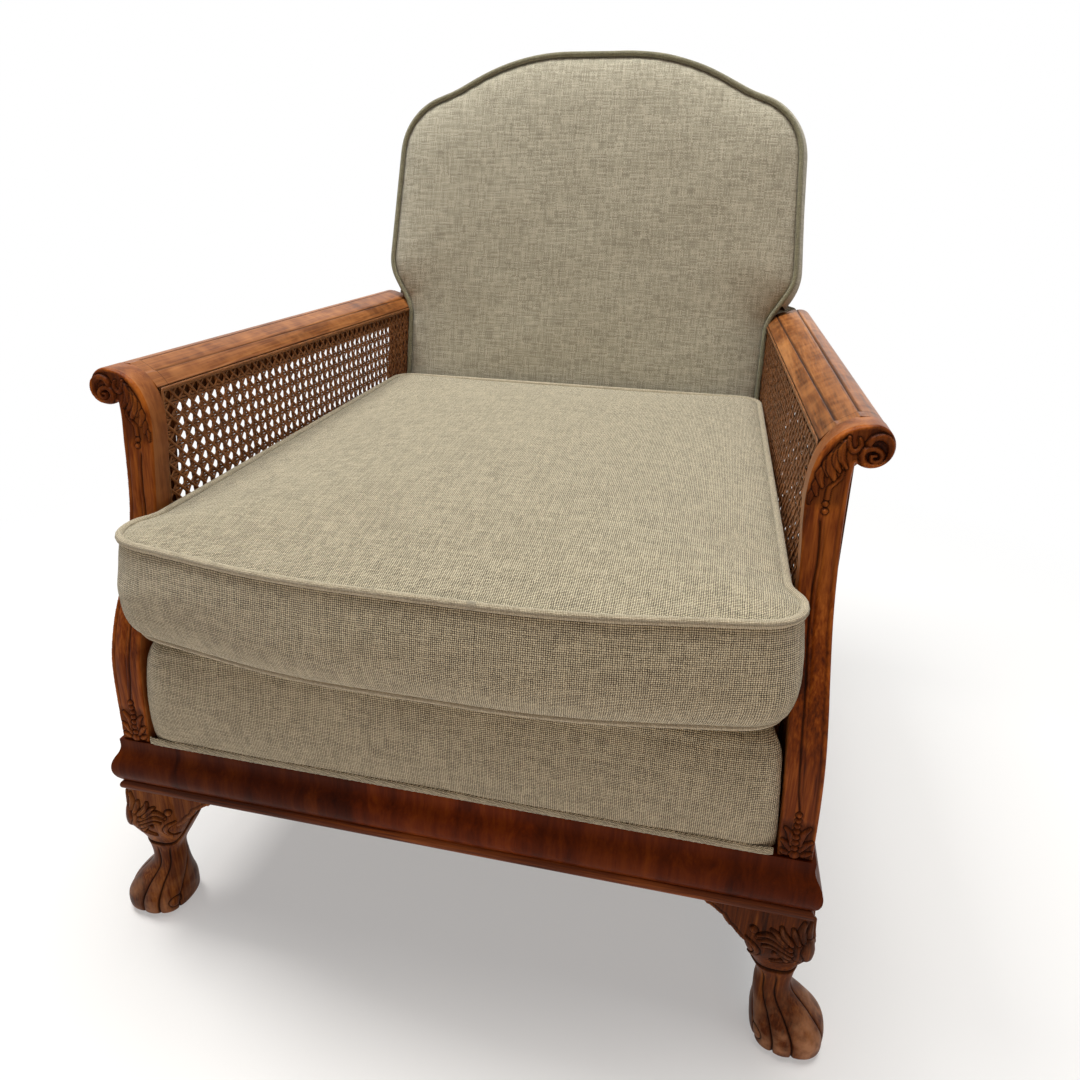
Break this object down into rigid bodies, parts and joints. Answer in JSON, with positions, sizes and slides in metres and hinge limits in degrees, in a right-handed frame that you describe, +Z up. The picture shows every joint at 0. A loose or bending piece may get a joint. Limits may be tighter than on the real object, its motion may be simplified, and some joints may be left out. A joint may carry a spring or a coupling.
{
  "type": "upholstered armchair",
  "caption": "Upholstered armchair with a walnut show-wood frame, caned sides, scrolled arms, short cabriole front legs, tight shaped back and loose box seat cushion.",
  "frame": {"origin": "on the floor, in the middle of the chair's box", "axes": "+X to the sitter's left, +Y to the back of the chair, +Z up"},
  "size_m": [0.754, 0.8854, 0.9393],
  "materials": {
    "walnut": "waxed satin walnut",
    "rail_veneer": "polished veneer",
    "frame_beech": "bare beech",
    "cane": "stained cane",
    "upholstery": "coarse woven linen",
    "piping": "woven piping",
    "webbing": "jute webbing",
    "lining": "hessian and lining cloth",
    "spring_steel": "coppered steel wire"
  },
  "bodies": {
    "chair": {"arm_post_left": "walnut", "arm_post_right": "walnut", "arm_rail_left": "walnut", "arm_rail_right": "walnut", "back_border": "upholstery", "back_pad": "upholstery", "back_piping": "piping", "back_webbing_cross": "webbing", "back_webbing_upright": "webbing", "cane_binder_left": "cane", "cane_binder_right": "cane", "cane_panel_left": "cane", "cane_panel_right": "cane", "corner_block_left": "frame_beech", "corner_block_right": "frame_beech", "crest_rail": "frame_beech", "dust_cover": "lining", "frame_dowels": "frame_beech", "frame_screws": "spring_steel", "front_bead": "rail_veneer", "front_leg_left": "walnut", "front_leg_right": "walnut", "front_rail": "rail_veneer", "knee_bracket_front_left": "walnut", "knee_bracket_front_right": "walnut", "knee_bracket_side_left": "walnut", "knee_bracket_side_right": "walnut", "lower_back_rail": "frame_beech", "outside_back": "upholstery", "rear_post_left": "walnut", "rear_post_right": "walnut", "rear_rail": "frame_beech", "seat_deck": "upholstery", "seat_front_border": "upholstery", "seat_hessian": "lining", "seat_side_lining_left": "lining", "seat_side_lining_right": "lining", "seat_springs": "spring_steel", "seat_webbing_cross": "webbing", "seat_webbing_long": "webbing", "side_bead_left": "rail_veneer", "side_bead_right": "rail_veneer", "side_lower_rail_left": "walnut", "side_lower_rail_right": "walnut", "side_rail_left": "rail_veneer", "side_rail_right": "rail_veneer", "side_upright_front_left": "walnut", "side_upright_front_right": "walnut", "side_upright_rear_left": "walnut", "side_upright_rear_right": "walnut"},
    "cushion": {"seat_cushion": "upholstery", "cushion_piping_top": "piping", "cushion_piping_bottom": "piping"}
  },
  "joints": [
    {"name": "cushion_lift", "type": "slide", "parent": "chair", "child": "cushion", "axis": [0, 0, 1], "range_m": [0, 0.26]}
  ]
}
